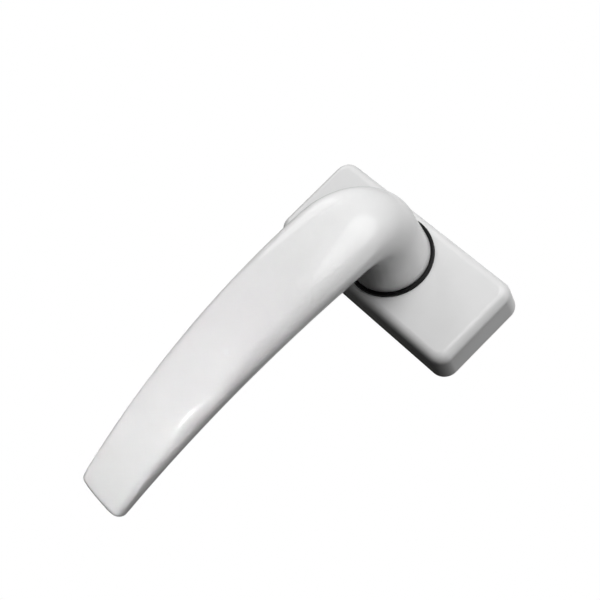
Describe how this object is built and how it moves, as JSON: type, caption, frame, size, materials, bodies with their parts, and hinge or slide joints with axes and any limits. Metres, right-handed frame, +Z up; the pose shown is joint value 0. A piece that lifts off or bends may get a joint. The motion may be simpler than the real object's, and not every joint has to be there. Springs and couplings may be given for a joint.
{
  "type": "window lever handle",
  "caption": "White lever handle with a rectangular rosette, a square spindle and a quarter-turn detent, for turning the gear of a casement or tilt-and-turn window.",
  "frame": {"origin": "on the spindle's axis, in the plane of the sash that the rosette is screwed to", "axes": "+X across the rosette, -Y out of the sash into the room along the neck, +Z up along the rosette; the lever at rest points to -X"},
  "size_m": [0.1196, 0.0831, 0.07],
  "materials": {
    "white_powder_coat": "smooth gloss white powder coat",
    "black_nylon": "moulded black nylon, satin",
    "zinc_casting": "raw zinc die casting, dull grey",
    "zinc_plated_steel": "bright zinc plating with a cold blue tint",
    "spring_steel": "oiled spring steel",
    "bright_steel": "ground bright steel",
    "natural_nylon": "moulded natural nylon"
  },
  "bodies": {
    "rosette": {"base_plate": "zinc_casting", "detent_lid": "zinc_plated_steel", "hub_bush": "natural_nylon", "locating_lug_upper": "natural_nylon", "locating_lug_lower": "natural_nylon", "screw_upper": "zinc_plated_steel", "screw_lower": "zinc_plated_steel", "cover_clip_upper": "spring_steel", "cover_clip_lower": "spring_steel", "detent_spring_upper": "spring_steel", "detent_spring_lower": "spring_steel"},
    "lever": {"lever_grip": "white_powder_coat", "spindle": "zinc_plated_steel", "spindle_pin": "bright_steel", "detent_cam": "zinc_plated_steel", "thrust_washer": "natural_nylon", "retaining_ring": "spring_steel", "spring_washer": "spring_steel"},
    "cover": {"rosette_cover": "white_powder_coat", "guide_ring": "black_nylon"},
    "ball_upper": {"detent_ball_upper": "bright_steel"},
    "ball_lower": {"detent_ball_lower": "bright_steel"}
  },
  "joints": [
    {"name": "lever_turn", "type": "hinge", "parent": "rosette", "child": "lever", "pos_m": [0, 0, 0], "axis": [0, -1, 0], "range_deg": [-90, 90]},
    {"name": "cover_lift", "type": "slide", "parent": "rosette", "child": "cover", "axis": [0, -1, 0], "range_m": [0, 0.003]},
    {"name": "ball_upper_travel", "type": "slide", "parent": "rosette", "child": "ball_upper", "axis": [-0.7071, 0, -0.7071], "range_m": [0, 0.0007], "stiffness_N_per_m": 400, "springref_m": 0.003, "deforming": ["detent_spring_upper"]},
    {"name": "ball_lower_travel", "type": "slide", "parent": "rosette", "child": "ball_lower", "axis": [0.7071, 0, 0.7071], "range_m": [0, 0.0007], "stiffness_N_per_m": 400, "springref_m": 0.003, "deforming": ["detent_spring_lower"]}
  ]
}
